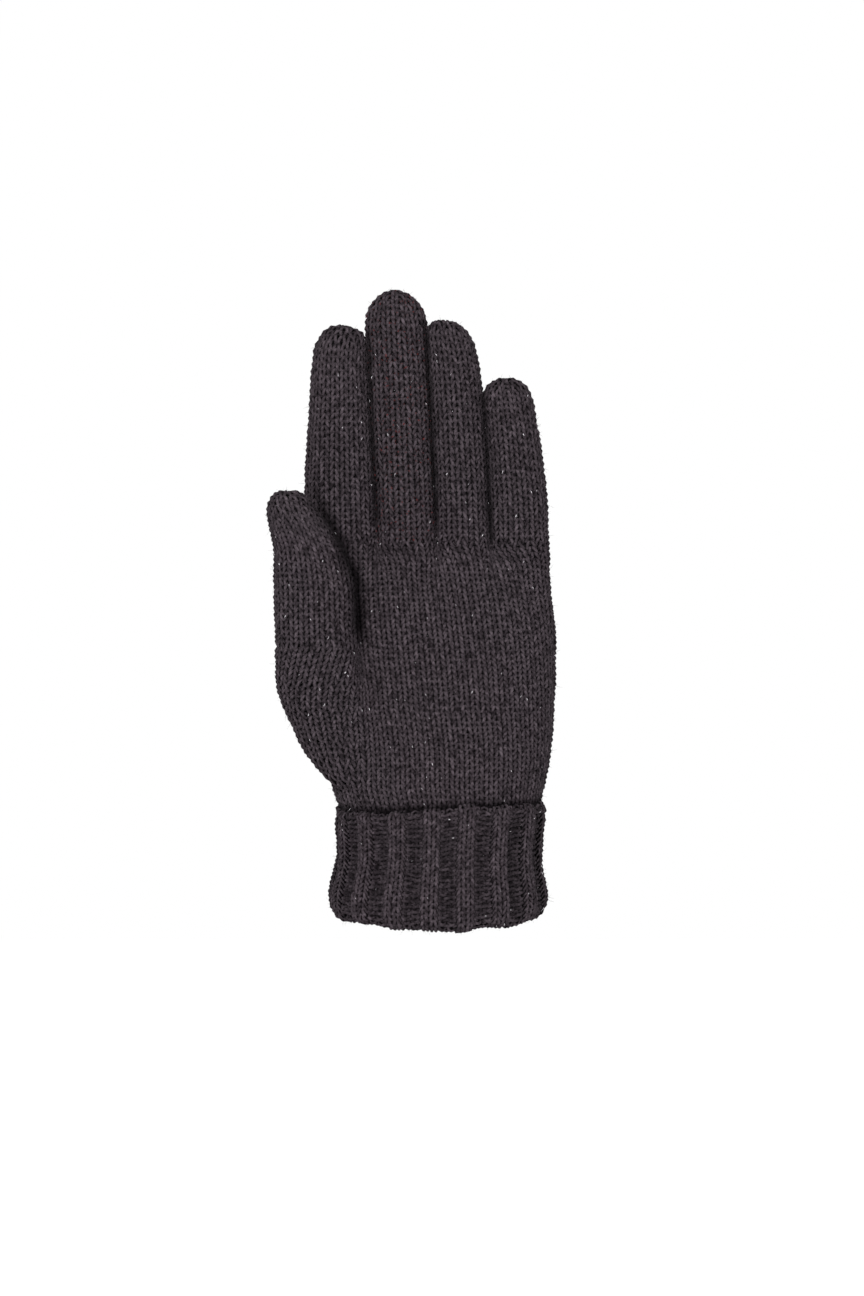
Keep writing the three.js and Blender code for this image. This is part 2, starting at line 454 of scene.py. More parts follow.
def hand_field(x, y, z):
    """The hand's outline at one height: an oval, with the root of the thumb growing out of it and
    four lobes where the fingers begin."""

    def outline_at(outline):
        return oval_distance(x, y, *stations_at(outline, np.array([z]))[0])

    lobe_blend = part_way(LOBE_BLENDS, smoothstep(*LOBES_PART, z))
    lobes = None
    for finger in FINGERS.values():
        lobe = outline_at(finger["outline"])
        lobes = lobe if lobes is None else smooth_min(lobes, lobe, lobe_blend)
    hand = part_way((outline_at(HAND_OUTLINE), lobes), smoothstep(*LOBES_APPEAR, z))
    gone_above = THUMB_GONE_ABOVE * smoothstep(*THUMB_LEAVES, z)
    gone_below = THUMB_GONE_BELOW * smoothstep(*THUMB_ROOT_ENDS, z)
    thumb = outline_at(THUMB_OUTLINE) + gone_above + gone_below
    return smooth_min(hand, thumb, part_way(THUMB_ROOT_BLENDS, smoothstep(*THUMB_BLENDS, z)))


def outline_reach(start, dx, dy, z):
    """How far along each ray the hand's outline is."""
    reach = np.arange(0, RAY_REACH, RAY_STEP)
    x = start[:, None] + dx[:, None] * reach
    y = dy[:, None] * reach
    inside = hand_field(x, y, z) < 0
    last = inside.shape[1] - 1 - np.argmax(inside[:, ::-1], axis=1)
    after = np.minimum(last + 1, len(reach) - 1)
    rays = np.arange(len(start))
    field_last = hand_field(x[rays, last], y[rays, last], z)
    field_after = hand_field(x[rays, after], y[rays, after], z)
    part = field_last / np.minimum(field_last - field_after, -1e-9)
    return reach[last] + RAY_STEP * np.clip(part, 0, 1)


def hand_surface(bottom, top):
    """The smooth tube of the hand, whose columns on the front and back run straight up."""
    first_front = FLAT_RAYS // 2 + FAN_RAYS
    first_back = first_front + FLAT_RAYS + FAN_RAYS
    front_rays = slice(first_front, first_front + FLAT_RAYS + FAN_RAYS // 6)
    heights = np.arange(bottom, top + 0.5, 1.0)
    rows = []
    for z in heights:
        left, right, _, depth = stations_at(HAND_OUTLINE, np.array([z]))[0]
        start, dx, dy = hand_rays(left, right, depth)
        reach = outline_reach(start, dx, dy, z)
        ring = np.stack([start + dx * reach, dy * reach, np.full(len(reach), z)], axis=1)
        middle = (left + right) / 2
        steady = middle + (left - middle) * FRONT_EDGE
        front = first_front + int(np.argmin(np.abs(ring[front_rays, 0] - steady)))
        anchors = ((0.0, 0), (FRONT_SHARE, front), (BACK_SHARE, first_back))
        rows.append(evenly_round(ring, HAND_COLUMNS, anchors))
    points = np.array(rows)
    for _ in range(SMOOTHING_PASSES):
        inner = (points[:-2] + points[2:]) / 2
        points[1:-1] = points[1:-1] * 0.5 + inner * 0.5
    return Surface(points, heights)


def oval_ring(left, right, middle, depth, height, shrink=1.0, inset=0.0, columns=FINGER_COLUMNS):
    """A ring of an outline, from the middle of the back round by the little finger's side."""
    angle = np.linspace(0, 2 * math.pi, 4 * columns, endpoint=False)
    power = 2 / SQUARENESS
    sine, cosine = np.sin(angle), np.cos(angle)
    half = (right - left) / 2 - inset
    x = (left + right) / 2 + half * shrink * np.sign(sine) * np.abs(sine) ** power
    y = middle + (depth - inset) * shrink * np.sign(cosine) * np.abs(cosine) ** power
    z = np.broadcast_to(height, x.shape)
    return evenly_round(np.stack([x, y, z], axis=1), columns)


def finger_surface(finger, bottom):
    """A tube up to the dome, then a rounded end that closes to a small ring."""
    dome = finger["dome"]
    dome_bottom = finger["top"] - FABRIC_REACH - dome
    straight = np.arange(bottom, dome_bottom, 1.0)
    turn = np.linspace(0, DOME_TURN * math.pi, DOME_ROWS)
    power = 2 / SQUARENESS
    heights = np.concatenate([straight, dome_bottom + dome * np.sin(turn) ** power])
    shrink = np.concatenate([np.ones(len(straight)), np.cos(turn) ** power])
    values = stations_at(finger["outline"], heights)
    rows = [oval_ring(*v, z, k, FABRIC_REACH) for v, z, k in zip(values, heights, shrink)]
    return Surface(rows)


# ---------------------------------------------------------------- yarn


def beside_shade_line(crease_shade, points, width):
    """How near each point is to a line of painted shade, from 0 to 1."""
    x, _, z = points.T
    across, heights = np.array(crease_shade, float).T
    beside = np.abs(x - np.interp(z, heights, across))
    faded_in = smoothstep(*SHADE_FADES_IN, z - heights[0])
    faded_out = smoothstep(*SHADE_FADES_OUT, z - heights[-1])
    return np.exp(-((beside / width) ** 2)) * faded_in * faded_out


def crease_shade_amount(points):
    """How much painted shade each point gets in creases, from 0 to 1. The middle of a finger's side
    stays clear, because it shows only when the finger bends away from its neighbour, and the thumb's
    painted shadow is on the front alone."""
    y = points[:, 1]
    off_side = smoothstep(*OFF_SIDE, np.abs(y))
    between_fingers = [beside_shade_line(crease_shade, points, CREASE_SHADE_WIDTH) * off_side for crease_shade in CREASE_SHADE_LINES]
    on_front = smoothstep(*THUMB_SHADOW_FRONT, y)
    by_thumb = beside_shade_line(THUMB_SHADOW_LINE, points, THUMB_SHADOW_WIDTH) * on_front
    return np.maximum.reduce(between_fingers + [by_thumb])


def cuff_droop(x, y):
    """How far the cuff's edge hangs down, most at the front by the thumb's side."""
    return CUFF_DROOP * smoothstep(*DROOP_FORWARD, -y) * smoothstep(*DROOP_ACROSS, x)


def cuff_edge_shade(points):
    """How much painted shadow each point of the hand gets in the fold above the cuff's edge, from 0
    to 1.
    """
    x, y, z = points.T
    edge = CUFF_EDGE - cuff_droop(x, y)
    return np.exp(-((np.maximum(z - edge, 0) / CUFF_SHADE_WIDTH) ** 2))


class Strand:
    """Everything one piece is made of, gathered before its mesh is made."""

    def __init__(self):
        self.vertices = []
        self.faces = []
        self.uvs = []
        self.slots = []
        self.shades = []
        self.count = 0

    def add(self, vertices, faces, uvs, slot, shade=0.0):
        self.vertices.append(vertices)
        self.shades.append(np.broadcast_to(shade, len(vertices)))
        self.faces.append(faces + self.count)
        self.uvs.append(uvs)
        self.slots.append(np.full(len(faces), slot))
        self.count += len(vertices)

    def mesh(self, name, above_cuff):
        """A mesh in metres, with the yarn's UV map and how much painted shade each point gets from
        creases, rib valleys and the cuff's edge.
        """
        vertices = np.concatenate(self.vertices)
        depth = np.maximum(crease_shade_amount(vertices), np.concatenate(self.shades))
        # The hand's pieces also get a painted shadow along the cuff's edge.
        if above_cuff:
            depth = np.maximum(depth, cuff_edge_shade(vertices))
        vertices *= MM
        faces = np.concatenate(self.faces)
        mesh = bpy.data.meshes.new(name)
        mesh.vertices.add(len(vertices))
        mesh.vertices.foreach_set("co", vertices.astype(np.float32).ravel())
        mesh.loops.add(faces.size)
        mesh.loops.foreach_set("vertex_index", faces.astype(np.int32).ravel())
        mesh.polygons.add(len(faces))
        mesh.polygons.foreach_set("loop_start", np.arange(0, faces.size, 4, dtype=np.int32))
        mesh.polygons.foreach_set("material_index", np.concatenate(self.slots).astype(np.int32))
        mesh.update(calc_edges=True)
        layer = mesh.uv_layers.new(name="yarn")
        layer.data.foreach_set("uv", np.concatenate(self.uvs).astype(np.float32).ravel())
        shade = mesh.attributes.new("crease_shade", "FLOAT", "POINT")
        shade.data.foreach_set("value", depth.astype(np.float32))
        mesh.polygons.foreach_set("use_smooth", np.ones(len(faces), dtype=bool))
        return mesh


def tube_faces(rows, sides):
    """The faces of a tube whose points are numbered row by row."""
    i = np.arange(rows - 1)[:, None] * sides
    j = np.arange(sides)[None, :]
    k = (j + 1) % sides
    return np.stack([i + j, i + k, i + sides + k, i + sides + j], axis=2).reshape(-1, 4)


def sweep(strand, path, normal, radius, along, slot=YARN_SLOT, sides=YARN_SIDES, shade=0.0):
    """A tube of yarn along a path. along is the length of yarn before each point, for the ply, and
    shade is how much painted shade each point gets in creases."""
    tangent = np.gradient(path, axis=0)
    tangent /= np.maximum(np.linalg.norm(tangent, axis=1, keepdims=True), 1e-9)
    side = np.cross(tangent, normal)
    side /= np.maximum(np.linalg.norm(side, axis=1, keepdims=True), 1e-9)
    up = np.cross(side, tangent)
    angle = 2 * math.pi * np.arange(sides) / sides
    radius = np.full(len(path), float(radius))
    radius[[0, -1]] *= YARN_END
    ring = side[:, None] * np.cos(angle)[None, :, None] + up[:, None] * np.sin(angle)[None, :, None]
    points = path[:, None] + ring * radius[:, None, None]
    side_number = np.arange(sides)
    low, high, here, there = np.broadcast_arrays(
        along[:-1, None], along[1:, None], side_number / sides, (side_number + 1) / sides
    )
    uvs = np.stack([low, here, low, there, high, there, high, here], axis=2).reshape(-1, 2)
    shade = np.repeat(np.broadcast_to(shade, len(path)), sides)
    strand.add(points.reshape(-1, 3), tube_faces(len(path), sides), uvs, slot, shade)


def stitch_rows(*values):
    """One column for each stitch: the share of the way round where it starts, its width, the
    distance up the surface where it starts, its rise and its height."""
    return np.stack(np.broadcast_arrays(*values))


def even_stitches(wales, course, start, low, high):
    """The stitches of the courses from number low to high, all alike and wound as one spiral."""
    u0 = np.arange(low * wales, high * wales) / wales
    s0 = start + u0 * course
    return stitch_rows(u0, 1 / wales, s0, course / wales, course)


def round_length(surface, s, low=0.0, high=1.0):
    """The length of the way round the surface between two shares, at a distance up it."""
    shares = np.linspace(low, high, 80)
    ring, _ = surface.at(shares, np.full(len(shares), s))
    return np.linalg.norm(np.diff(ring, axis=0), axis=1).sum()


def stitch_path(surface, stitches, knit=None, lift=None):
    """The middle of the yarn through a run of stitches, as stitch_rows gives them. knit says, for
    places round the tube, which side faces out, from 1 for knit to -1 for purl, and lift raises the
    fabric. The shade is the painted shade that each point gets from how deep it lies in a valley of
    the rib."""
    count = stitches.shape[1]
    t = np.arange(count * LOOP_SAMPLES + 1) / LOOP_SAMPLES
    stitch = np.minimum(np.floor(t).astype(int), count - 1)
    tau = t - stitch
    u0, width, s0, rise, course = stitches[:, stitch]
    number = stitch + np.round(s0[0] * 100)
    u = u0 + width * (tau + LOOP_SPREAD * np.sin(4 * math.pi * tau))
    tall = LOOP_HEIGHT * course * (1 + HEIGHT_NOISE * noise_of(number, 11))
    s = s0 + rise * tau + tall * np.cos(2 * math.pi * tau) + RISE_NOISE * noise_of(number, 23)
    face = 1.0 if knit is None else knit(u)
    out = -LOOP_DEPTH * np.cos(4 * math.pi * tau) * face + DEPTH_NOISE * noise_of(number, 37)
    shade = 0.0
    if lift is not None:
        lifted = lift(u, s)
        out = out + lifted
        shade = VALLEY_SHADE * smoothstep(*VALLEY, lifted / RIB_DEPTH)
    place, normal = surface.at(u, s)
    x, y, z = place.T
    out = out + FABRIC_WAVE * np.sin(0.31 * x + 0.17 * z) * np.sin(0.23 * z - 0.11 * x + y)
    place = place + normal * out[:, None]
    wave = np.sin(0.19 * x + 0.08 * z + 0.4 * y)
    ripple = np.sin(0.13 * z - 0.33 * x)
    place[:, 2] += ROW_WAVE * wave + ROW_RIPPLE * ripple
    return place, normal, shade


def noise_of(whole, salt):
    """A steady pseudo-random value from -1 to 1 for each whole number."""
    x = np.sin(whole * 12.9898 + salt * 78.233) * 43758.5453
    return 2 * (x - np.floor(x)) - 1


def add_knit(strand, surface, stitches, knit=None, lift=None):
    """Yarn through a run of stitches, with its loose fibres and a few slivers of metal thread."""
    path, normal, shade = stitch_path(surface, stitches, knit, lift)
    lengths = np.linalg.norm(np.diff(path, axis=0), axis=1)
    along = np.concatenate([[0], np.cumsum(lengths)])
    sweep(strand, path, normal, YARN_RADIUS, along, shade=shade)
    add_fibres(strand, path, normal, along, int(stitches.shape[1] * FIBRES_PER_STITCH))
    for first in RNG.integers(0, len(path) - 4, stitches.shape[1] // STITCHES_PER_SLIVER):
        run = slice(first, first + 3)
        middle = path[first + 1]
        out = normal[run] * YARN_RADIUS * SLIVER_OUT
        sliver = middle + (path[run] - middle) * SLIVER_SHARE + out
        radius = SLIVER_RADIUS * RNG.uniform(*SLIVER_SIZES)
        sweep(strand, sliver, normal[run], radius, along[run], METAL_SLOT, SLIVER_SIDES)


def add_fibres(strand, path, normal, along, count):
    """Short loose fibres that stand off the yarn, each a bent three-sided thread that tapers."""
    index = RNG.integers(0, len(path), count)
    spin = RNG.normal(0, 1, (count, 3))
    out = spin + normal[index] * 0.5
    out /= np.linalg.norm(out, axis=1, keepdims=True)
    length = RNG.uniform(*FIBRE_LENGTHS, count)
    bend = RNG.normal(0, FIBRE_BEND, (count, 3))
    side = np.cross(out, normal[index] + 0.3 * spin)
    side /= np.maximum(np.linalg.norm(side, axis=1, keepdims=True), 1e-9)
    up = np.cross(side, out)
    base = path[index] + out * YARN_RADIUS * FIBRE_ROOT
    rings = []
    for share, radius in FIBRE_TAPER:
        middle = base + out * (length * share)[:, None] + bend * share * share
        for corner in range(3):
            angle = 2 * math.pi * corner / 3
            rings.append(middle + (side * math.cos(angle) + up * math.sin(angle)) * radius)
    vertices = np.stack(rings, axis=1).reshape(-1, 3)
    faces = (np.arange(count)[:, None, None] * len(rings) + tube_faces(3, 3)).reshape(-1, 4)
    faces_each = len(faces) // count
    uvs = np.repeat(np.stack([along[index], spin[:, 0]], axis=1), faces_each * 4, axis=0)
    strand.add(vertices, faces, uvs, YARN_SLOT)


def add_backing(strand, surface, start, stop, inset=BACKING_INSET):
    """The inner side of the fabric, a thin closed shell just behind the loops, dark with painted
    shade.
    """
    distance = surface.distance
    keep = (distance >= start - BACKING_MARGIN) & (distance <= stop + BACKING_MARGIN)
    points = surface.points[keep][:, ::BACKING_STEP]
    normals = surface.normals[keep][:, ::BACKING_STEP]
    outer = points - normals * inset
    inner = points - normals * (inset + BACKING_THICKNESS)
    rows = np.concatenate([outer, inner[::-1], outer[:1]])
    count = rows.shape[1]
    faces = tube_faces(len(rows), count) % (count * (len(rows) - 1))
    strand.add(rows[:-1].reshape(-1, 3), faces, np.zeros((faces.size, 2)), INNER_SLOT)


def link(name, data):
    """A new object in the scene."""
    thing = bpy.data.objects.new(name, data)
    bpy.context.scene.collection.objects.link(thing)
    return thing


def make_piece(name, strand, materials, body=None, above_cuff=False):
    """The Blender object of a strand, attached to its body where one is given."""
    piece = link(name, strand.mesh(name, above_cuff))
    for material in materials:
        piece.data.materials.append(material)
    if body:
        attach(piece, body)
    return piece


# ---------------------------------------------------------------- materials


def new_material(name):
    """A new material, with its nodes, its links and its shader."""
    material = bpy.data.materials.new(name)
    material.use_nodes = True
    nodes = material.node_tree.nodes
    return material, nodes, material.node_tree.links, nodes["Principled BSDF"]


def math_node(nodes, links, operation, a, b=None):
    """The output of a math node, whose inputs are numbers or other nodes' outputs."""
    node = nodes.new("ShaderNodeMath")
    node.operation = operation
    for socket, value in zip(node.inputs, (a, b)):
        if value is None:
            continue
        if isinstance(value, (int, float)):
            socket.default_value = value
        else:
            links.new(value, socket)
    return node.outputs[0]


def noise_node(nodes, links, place, scale, detail=2.0):
    """A noise from 0 to 1 over the given place."""
    noise = nodes.new("ShaderNodeTexNoise")
    noise.inputs["Scale"].default_value = scale
    noise.inputs["Detail"].default_value = detail
    links.new(place, noise.inputs["Vector"])
    return noise.outputs["Fac"]


def ramp_node(nodes, links, factor, dark, light, start=0.0, end=1.0):
    """A colour from dark to light as the factor goes from start to end."""
    ramp = nodes.new("ShaderNodeValToRGB")
    for element, position, colour in zip(ramp.color_ramp.elements, (start, end), (dark, light)):
        element.position = position
        element.color = (*colour, 1)
    links.new(factor, ramp.inputs["Fac"])
    return ramp.outputs["Color"]


def range_node(nodes, links, value, low, high, to_low=0.0, smooth=False):
    """A rise from to_low to 1 as the value goes from low to high."""
    node = nodes.new("ShaderNodeMapRange")
    if smooth:
        node.interpolation_type = "SMOOTHSTEP"
    node.inputs["From Min"].default_value = low
    node.inputs["From Max"].default_value = high
    node.inputs["To Min"].default_value = to_low
    links.new(value, node.inputs["Value"])
    return node.outputs["Result"]


def add_bump(nodes, links, shader, height, strength, distance):
    """Bump of the shader's surface by a height, with its distance in metres."""
    bump = nodes.new("ShaderNodeBump")
    bump.inputs["Strength"].default_value = strength
    bump.inputs["Distance"].default_value = distance
    links.new(height, bump.inputs["Height"])
    links.new(bump.outputs["Normal"], shader.inputs["Normal"])


def yarn_light(nodes, links, along, round_yarn):
    """How much painted light and shade goes into the yarn's colour: most on its crown, little in
    creases, and a tone that differs at random, a bit more or less from stitch to stitch."""

    def calc(operation, a, b=None):
        return math_node(nodes, links, operation, a, b)

    # Painted shade: the yarn's sides and inner side darker than its crown, which faces out.
    crown = calc("SINE", calc("MULTIPLY", round_yarn, 2 * math.pi))
    crown_light = range_node(nodes, links, crown, 0.0, 0.95, to_low=0.04, smooth=True)
    stitch_place = nodes.new("ShaderNodeCombineXYZ")
    links.new(calc("MULTIPLY", along, TINTS_ALONG), stitch_place.inputs[0])
    stitch_noise = noise_node(nodes, links, stitch_place.outputs[0], scale=1.0, detail=1.0)
    tint = calc("ADD", calc("MULTIPLY", stitch_noise, 2.2), -0.18)
    # Painted shade from the mesh's attribute, in creases, rib valleys and along the cuff's edge.
    crease_shade = nodes.new("ShaderNodeAttribute")
    crease_shade.attribute_name = "crease_shade"
    unshaded_share = calc("SUBTRACT", 1.0, calc("MULTIPLY", crease_shade.outputs["Fac"], 0.8))
    return calc("MULTIPLY", crown_light, calc("MULTIPLY", unshaded_share, tint))


def with_flecks(nodes, links, place, colour, fleck):
    """The colour with small flecks of another in it."""
    spots = noise_node(nodes, links, place, scale=1000.0)
    mix = nodes.new("ShaderNodeMix")
    mix.data_type = "RGBA"
    links.new(range_node(nodes, links, spots, 0.64, 0.72), mix.inputs[0])
    links.new(colour, mix.inputs[6])
    mix.inputs[7].default_value = (*fleck, 1)
    return mix.outputs[2]


def yarn_material(name, fleck=None):
    """Plied melange yarn: diagonal plies, fine fibres along the yarn, streaks of lighter wool and,
    where a fleck colour is given, a few coloured fibres."""
    material, nodes, links, shader = new_material(name)

    def calc(operation, a, b=None):
        return math_node(nodes, links, operation, a, b)

    uv = nodes.new("ShaderNodeUVMap")
    uv.uv_map = "yarn"
    split = nodes.new("ShaderNodeSeparateXYZ")
    links.new(uv.outputs["UV"], split.inputs[0])
    along, round_yarn = split.outputs[0], split.outputs[1]
    turns = calc("ADD", calc("MULTIPLY", along, PLY_TURNS), round_yarn)
    streaks = nodes.new("ShaderNodeCombineXYZ")
    links.new(calc("MULTIPLY", along, STREAKS_ALONG), streaks.inputs[0])
    links.new(calc("MULTIPLY", turns, STREAKS_ROUND), streaks.inputs[1])
    fibres = noise_node(nodes, links, streaks.outputs[0], scale=2.2, detail=3.0)
    place = nodes.new("ShaderNodeTexCoord").outputs["Object"]
    melange = noise_node(nodes, links, place, scale=640.0)

    mixed = calc("ADD", calc("MULTIPLY", fibres, 0.5), calc("MULTIPLY", melange, 0.5))
    wool = ramp_node(nodes, links, mixed, DARK_WOOL, LIGHT_WOOL, start=0.37, end=0.63)
    lit = nodes.new("ShaderNodeVectorMath")
    lit.operation = "SCALE"
    links.new(wool, lit.inputs[0])
    # The wool's colour is scaled by the painted light and shade of yarn_light.
    links.new(yarn_light(nodes, links, along, round_yarn), lit.inputs["Scale"])
    colour = lit.outputs["Vector"]
    if fleck:
        colour = with_flecks(nodes, links, place, colour, fleck)
    links.new(colour, shader.inputs["Base Color"])

    ply = calc("ABSOLUTE", calc("SINE", calc("MULTIPLY", turns, 2 * math.pi)))
    height = calc("ADD", ply, calc("MULTIPLY", fibres, 0.7))
    add_bump(nodes, links, shader, height, strength=0.7, distance=0.00022)
    shader.inputs["Roughness"].default_value = 0.92
    shader.inputs["Specular IOR Level"].default_value = 0.0
    shader.inputs["Sheen Weight"].default_value = 0.01
    shader.inputs["Sheen Roughness"].default_value = 0.5
    return material


def backing_material():
    """The inner side of the fabric, seen only through the gaps between loops, in the dark colours of
    painted shade.
    """
    material, nodes, links, shader = new_material("inner_side")
    place = nodes.new("ShaderNodeTexCoord").outputs["Object"]
    loops = noise_node(nodes, links, place, scale=700.0)
    colour = ramp_node(nodes, links, loops, INSIDE_SHADE_DARK, INSIDE_SHADE_LIGHT)
    links.new(colour, shader.inputs["Base Color"])
    add_bump(nodes, links, shader, loops, strength=0.6, distance=0.0003)
    shader.inputs["Roughness"].default_value = 0.95
    shader.inputs["Specular IOR Level"].default_value = 0.1
    return material


def metal_thread_material():
    """Flat silver thread, brushed along its length."""
    material, nodes, links, shader = new_material("metal_thread")
    place = nodes.new("ShaderNodeTexCoord").outputs["Object"]
    brushing = noise_node(nodes, links, place, scale=1500.0)
    colour = ramp_node(nodes, links, brushing, DARK_SILVER, LIGHT_SILVER)
    links.new(colour, shader.inputs["Base Color"])
    shader.inputs["Metallic"].default_value = 1.0
    shader.inputs["Roughness"].default_value = 0.5
    return material


PLAIN_YARN = yarn_material("melange_yarn")
FLECKED_YARN = yarn_material("flecked_melange_yarn", RED_FLECK)
INNER = backing_material()
METAL_THREAD = metal_thread_material()


# ---------------------------------------------------------------- cuff


def cuff_surface():
    """The ribbed tube from inside the wrist, round the fold at the bottom and up the outside."""
    fold = CUFF_LAYER / 2
    above_fold = fold + STRAIGHT_ABOVE_FOLD
    inside_down = [(CUFF_LAYER, z) for z in np.arange(INNER_LAYER_TOP, above_fold, -1.0)]
    turn = np.linspace(0, math.pi, FOLD_ROWS)
    round_fold = [(fold + fold * math.cos(a), fold + FOLD_RAISED - fold * math.sin(a)) for a in turn]
    outside_up = [(0.0, z) for z in np.arange(above_fold, OUTER_LAYER_TOP, 1.0)]
    profile = np.array(inside_down + round_fold + outside_up + CUFF_LIP)
    rows = []
    for inset, z in profile:
        outline = stations_at(CUFF_OUTLINE, np.array([z]))[0]
        deeper = inset + FABRIC_REACH + RIB_DEPTH / 2
        rows.append(oval_ring(*outline, z, 1.0, deeper, HAND_COLUMNS))
    rows = np.array(rows)
    x, y, z = rows[..., 0], rows[..., 1], rows[..., 2]
    droop = cuff_droop(x, y) * smoothstep(*DROOP_HEIGHTS, z)
    to_side = (np.abs(x) / CUFF_HALF_WIDTH) ** SIDE_RISE_POWER
    rows[..., 2] = z - droop + SIDE_RISE * to_side * smoothstep(*SIDE_RISE_HEIGHTS, z)
    return Surface(rows), profile


def make_cuff():
    """The three pieces of the ribbed cuff, whose courses follow on as one spiral."""
    surface, profile = cuff_surface()
    end = surface.distance[-1]
    fold = surface.distance[int(np.argmin(profile[:, 1]))]

    def wave(u):
        return np.sin(2 * math.pi * u * CUFF_WALES / RIB_PERIOD)

    def knit(u):
        return np.clip(wave(u) * STITCH_STEEPNESS, -1, 1)

    def lift(u, s):
        at_edge = EDGE_FLATTENS * smoothstep(*EDGE_FADE, s - end)
        at_fold = FOLD_FLATTENS * np.exp(-(((s - fold) / FOLD_FADE) ** 2))
        return RIB_DEPTH * np.clip(wave(u) * RIB_STEEPNESS, -1, 1) * (1 - at_edge - at_fold)

    courses = int(round((end - CUFF_STOP) / CUFF_COURSE))
    cuts = [0, *CUFF_CUTS, courses]
    pieces = [
        ("cuff_inner_layer", ["wrist_rib"]),
        ("cuff_folded_layer", ["cuff_fold"]),
        ("cuff_turned_up_layer", ["cuff_turnback", "cuff_cast_on_edge"]),
    ]
    for (name, replaced), low, high in zip(pieces, cuts[:-1], cuts[1:]):
        strand = Strand()
        stitches = even_stitches(CUFF_WALES, CUFF_COURSE, CUFF_START, low, high)
        add_knit(strand, surface, stitches, knit, lift)
        start, stop = CUFF_START + low * CUFF_COURSE, CUFF_START + high * CUFF_COURSE
        add_backing(strand, surface, start, stop, BACKING_INSET + RIB_DEPTH)
        piece = make_piece(name, strand, [PLAIN_YARN, INNER, METAL_THREAD], "hand")
        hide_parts(*replaced)


# ---------------------------------------------------------------- hand, thumb and fingers


def hand_stitches(surface, low, high):
    """The stitches of the hand's courses. The wales of the back and the front run the whole height,
    and between them, round the thumb's side, there are as many as fit, so stitches are added for
    the thumb and taken away above it."""
    front = np.linspace(0, FRONT_SHARE, FRONT_WALES, endpoint=False)
    back = np.linspace(BACK_SHARE, 1, BACK_WALES, endpoint=False)
    rows = []
    for course in range(low, high):
        s0 = HAND_BOTTOM + course * HAND_COURSE
        fitting = round_length(surface, s0, FRONT_SHARE, BACK_SHARE) / WALE
        by_thumb = np.linspace(FRONT_SHARE, BACK_SHARE, 2 * int(round(fitting / 2)), endpoint=False)
        u0 = np.concatenate([front, by_thumb, back])
        width = np.diff(np.append(u0, 1.0))
        rise = width * HAND_COURSE
        rows.append(stitch_rows(u0 + course, width, s0 + u0 * HAND_COURSE, rise, HAND_COURSE))
    return np.concatenate(rows, axis=1)


def make_hand():
    """The palm and the back of the hand, in four pieces from the wrist to the fingers."""
    surface = hand_surface(HAND_BOTTOM - HAND_MARGIN, HAND_TOP + HAND_MARGIN)
    names = ["palm_at_wrist", "palm_lower", "palm_middle", "palm_upper"]
    courses = int(round((HAND_TOP - HAND_BOTTOM) / HAND_COURSE))
    edges = [round(i * courses / len(names)) for i in range(len(names) + 1)]
    for name, low, high in zip(names, edges[:-1], edges[1:]):
        strand = Strand()
        add_knit(strand, surface, hand_stitches(surface, low, high))
        start, stop = HAND_BOTTOM + low * HAND_COURSE, HAND_BOTTOM + high * HAND_COURSE
        add_backing(strand, surface, start, stop)
        materials = [PLAIN_YARN, INNER, METAL_THREAD]
        piece = make_piece(name, strand, materials, "hand", above_cuff=True)
        if name == "palm_middle":
            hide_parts("palm", "thumb_gusset")


def joint_place(name):
    """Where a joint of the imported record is, in metres."""
    joint = next(j for j in frame["joints"] if j["name"] == name)
    return Vector(joint["pos_m"])


def course_place(number, course):
    """How far up a finger a course is. The courses grow from the palm's height to the finger's."""
    grown = 1 - np.exp(-number / GROWING_COURSES)
    return number * course - (course - HAND_COURSE) * GROWING_COURSES * grown


def finger_stitches(surface, wales, course, low, high):
    """The stitches of a finger's courses, with fewer in each where the tip draws in."""
    rows = []
    for number in range(low, high):
        s0 = FINGER_START + course_place(number, course)
        s1 = FINGER_START + course_place(number + 1, course)
        fitting = round_length(surface, (s0 + s1) / 2) / WALE
        count = wales
        if fitting <= DRAWN_IN_SHARE * wales:
            count = max(FEWEST_STITCHES, int(round(fitting * TIP_CROWDING)))
        u0 = np.linspace(0, 1, count, endpoint=False)
        height = s1 - s0
        rows.append(stitch_rows(number + u0, 1 / count, s0 + u0 * height, height / count, height))
    return np.concatenate(rows, axis=1)


def finger_cuts(surface, starts, places):
    """The numbers of the courses where a finger's pieces begin and end: at its root, halfway
    between its joints, and at its tip."""
    heights = surface.points[:, :, 2].mean(axis=1)
    cuts = [0]
    for low, high in zip(places[:-1], places[1:]):
        middle = (low.z + high.z) / 2 / MM
        distance = np.interp(middle, heights, surface.distance)
        cuts.append(int(np.argmin(np.abs(starts - distance))))
    cuts.append(int(np.argmin(np.abs(starts - (surface.distance[-1] - TIP_GAP)))))
    return cuts


def make_finger(finger, surface, course, joints, bodies, yarn):
    """A finger in one piece for each joint, cut where both neighbours follow the same body."""
    starts = FINGER_START + course_place(np.arange(MOST_COURSES), course)
    places = [joint_place(joint) for joint in joints]
    cuts = finger_cuts(surface, starts, places)
    for i, joint in enumerate(joints):
        low, high = cuts[i], cuts[i + 1]
        below, body = bodies[i], bodies[i + 1]
        strand = Strand()
        add_knit(strand, surface, finger_stitches(surface, finger["wales"], course, low, high))
        past_tip = TIP_BACKING if joint == joints[-1] else 0
        add_backing(strand, surface, starts[low], starts[high] + past_tip)
        piece = make_piece(f"{body}_knit", strand, [yarn, INNER, METAL_THREAD])
        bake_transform(piece)
        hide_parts(f"{joint}_band", body)


def make_fingers():
    """The four fingers, each with three joints."""
    for name, finger in FINGERS.items():
        surface = finger_surface(finger, FINGER_BOTTOM)
        joints = [f"{name}_finger_{part}" for part in ("knuckle", "mid_joint", "tip_joint")]
        bodies = ["hand"] + [f"{name}_finger_{part}" for part in ("base", "mid", "tip")]
        yarn = FLECKED_YARN if name == "middle" else PLAIN_YARN
        make_finger(finger, surface, FINGER_COURSE, joints, bodies, yarn)


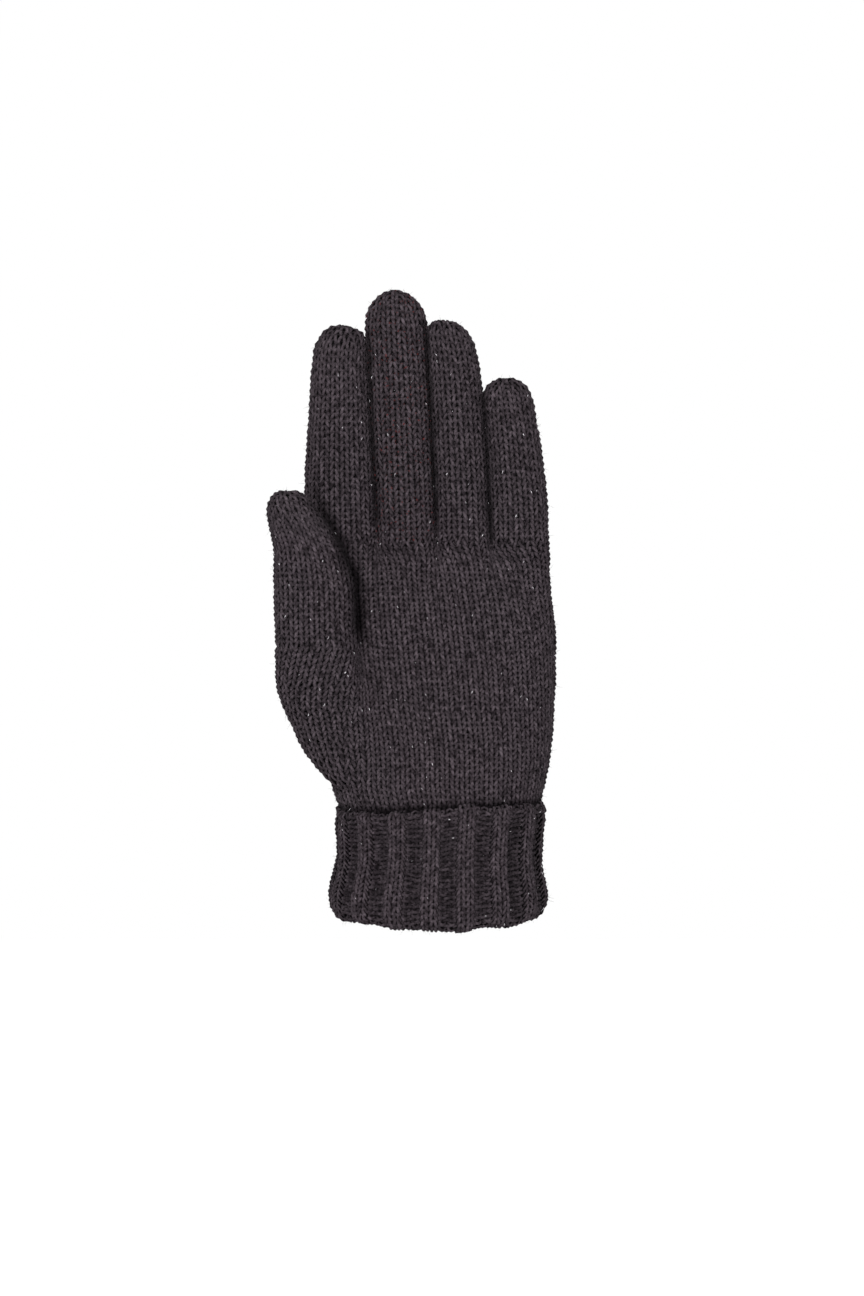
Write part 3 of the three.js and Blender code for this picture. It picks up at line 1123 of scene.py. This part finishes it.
def make_thumb():
    """The thumb's tube, with two joints."""
    surface = finger_surface(THUMB, THUMB_BOTTOM)
    joints = ["thumb_knuckle", "thumb_joint"]
    bodies = ["hand", "thumb_base", "thumb_tip"]
    make_finger(THUMB, surface, THUMB_COURSE, joints, bodies, PLAIN_YARN)


# ---------------------------------------------------------------- stage


def make_floor():
    """A plain pale floor, well below the glove."""
    mesh = bpy.data.meshes.new("floor")
    corners = [(-1, -1), (1, -1), (1, 1), (-1, 1)]
    points = [(x * FLOOR_REACH, y * FLOOR_REACH, FLOOR_HEIGHT) for x, y in corners]
    mesh.from_pydata(points, [], [(0, 1, 2, 3)])
    material, _, _, shader = new_material("pale_floor")
    shader.inputs["Base Color"].default_value = (1, 1, 1, 1)
    shader.inputs["Roughness"].default_value = 1.0
    mesh.materials.append(material)
    link("floor", mesh)


def add_area_light(name, place, size, power):
    """A square light aimed at the middle of the view."""
    light = bpy.data.lights.new(name, "AREA")
    light.shape = "SQUARE"
    light.size = size
    light.energy = power
    lamp = link(name, light)
    lamp.location = place
    lamp.rotation_euler = (VIEW_MIDDLE - Vector(place)).to_track_quat("-Z", "Y").to_euler()


def make_world():
    world = bpy.data.worlds.new("studio")
    bpy.context.scene.world = world
    world.use_nodes = True
    background = world.node_tree.nodes["Background"]
    background.inputs["Color"].default_value = (1, 1, 1, 1)
    background.inputs["Strength"].default_value = 1.0


def add_camera():
    """A camera straight in front of the palm."""
    data = bpy.data.cameras.new("camera")
    camera = link("camera", data)
    camera.location = VIEW_MIDDLE + Vector((0, -CAMERA_DISTANCE, 0))
    camera.rotation_euler = (math.pi / 2, 0, 0)
    data.sensor_fit = "VERTICAL"
    data.sensor_height = SENSOR_HEIGHT
    data.lens = SENSOR_HEIGHT * CAMERA_DISTANCE / VIEW_HEIGHT
    bpy.context.scene.camera = camera


def make_stage():
    bpy.context.scene.view_settings.view_transform = "Standard"
    make_floor()
    make_world()
    for light in LIGHTS:
        add_area_light(*light)
    add_camera()


make_stage()
make_cuff()
make_hand()
make_thumb()
make_fingers()
